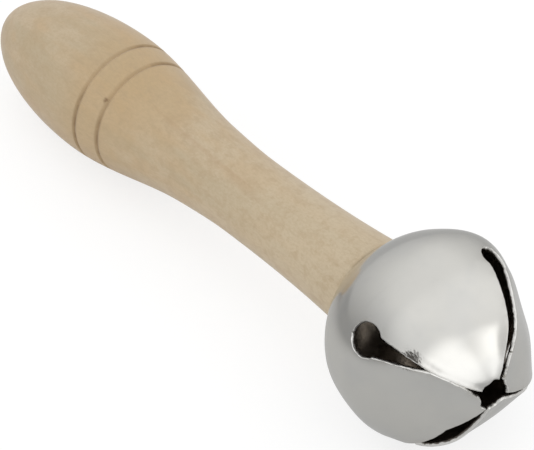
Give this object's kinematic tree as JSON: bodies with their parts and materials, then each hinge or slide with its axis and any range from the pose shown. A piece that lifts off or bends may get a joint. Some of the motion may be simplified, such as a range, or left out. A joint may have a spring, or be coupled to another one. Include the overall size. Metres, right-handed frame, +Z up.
{
  "type": "jingle stick",
  "caption": "Turned pale-wood handle with a bulbed, grooved grip and a nickel-plated slotted jingle bell on its end; a loose steel pellet rings when it is shaken or tapped.",
  "frame": {"origin": "on the table, under the middle of the whole stick's box as it lies at rest on its bulb and its bell", "axes": "+X along the stick from the butt to the bell's nose, +Z up from the table; the handle's own axis rises 3.9 degrees towards +X because the bell is thicker than the bulb"},
  "size_m": [0.1446, 0.0376, 0.0377],
  "materials": {
    "handle_wood": "pale hardwood, sanded and satin lacquered",
    "bell_nickel": "nickel plate on pressed steel, semi-bright, bright sheared edges",
    "screw_zinc": "zinc plated",
    "pellet_steel": "plain steel ball"
  },
  "bodies": {
    "stick": {"handle": "handle_wood", "bell_shell": "bell_nickel", "bell_screw": "screw_zinc"},
    "pellet": {"pellet": "pellet_steel"}
  },
  "joints": [
    {"name": "pellet_roll", "type": "hinge", "parent": "stick", "child": "pellet", "pos_m": [0.0544, -0.00019, 0.01909], "axis": [0.9953, -0.061, 0.0748], "continuous": true}
  ]
}
